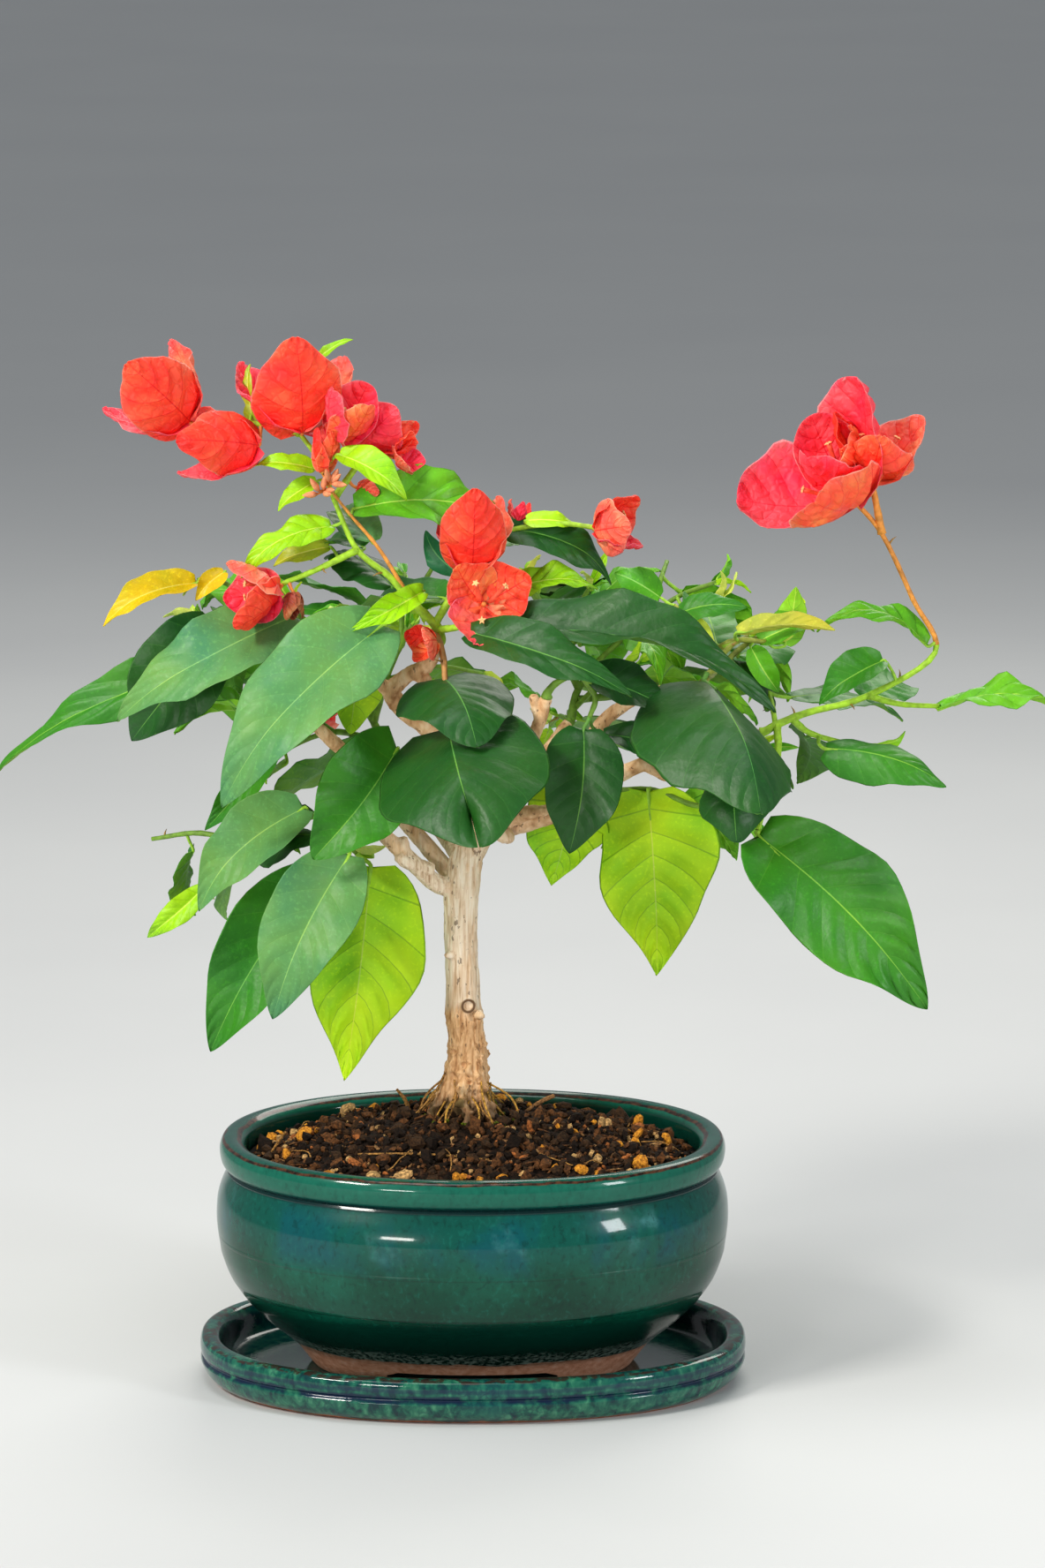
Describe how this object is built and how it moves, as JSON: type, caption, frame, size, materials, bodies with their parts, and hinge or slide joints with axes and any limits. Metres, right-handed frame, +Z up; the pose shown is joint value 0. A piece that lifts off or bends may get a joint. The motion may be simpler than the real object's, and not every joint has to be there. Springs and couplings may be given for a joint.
{
  "type": "potted bougainvillea bonsai",
  "caption": "Small bougainvillea bonsai with large drooping leaves and coral bracts, in an oval green glazed pot that stands in its drip tray",
  "frame": {"origin": "centre of the flat underside of the drip tray", "axes": "+Z up; +X along the long side of the pot, to the viewer's right; +Y away from the viewer"},
  "size_m": [0.386, 0.2055, 0.375],
  "materials": {
    "tray_glaze": "glossy mottled green glaze with navy breaks over stoneware",
    "pot_glaze": "glossy deep teal green glaze, bare terracotta foot",
    "potting_soil": "moist crumbly potting mix with clay granules and bark",
    "bark": "pale tan bark, rougher and warmer towards the roots",
    "foliage": "waxy green leaves, green twigs and papery coral bracts"
  },
  "bodies": {
    "root": {"drip_tray": "tray_glaze", "pot": "pot_glaze", "soil": "potting_soil", "trunk": "bark", "bough_left_low": "bark", "bough_left": "bark", "bough_top": "bark", "bough_right": "bark", "bough_mid": "bark", "bough_front": "bark", "bough_back_left": "bark", "bough_back_right": "bark", "foliage_left_low": "foliage", "foliage_left": "foliage", "foliage_top": "foliage", "foliage_front": "foliage", "foliage_mid": "foliage", "foliage_right": "foliage", "foliage_right_low": "foliage", "foliage_back_left": "foliage", "foliage_back_right": "foliage"}
  },
  "joints": []
}
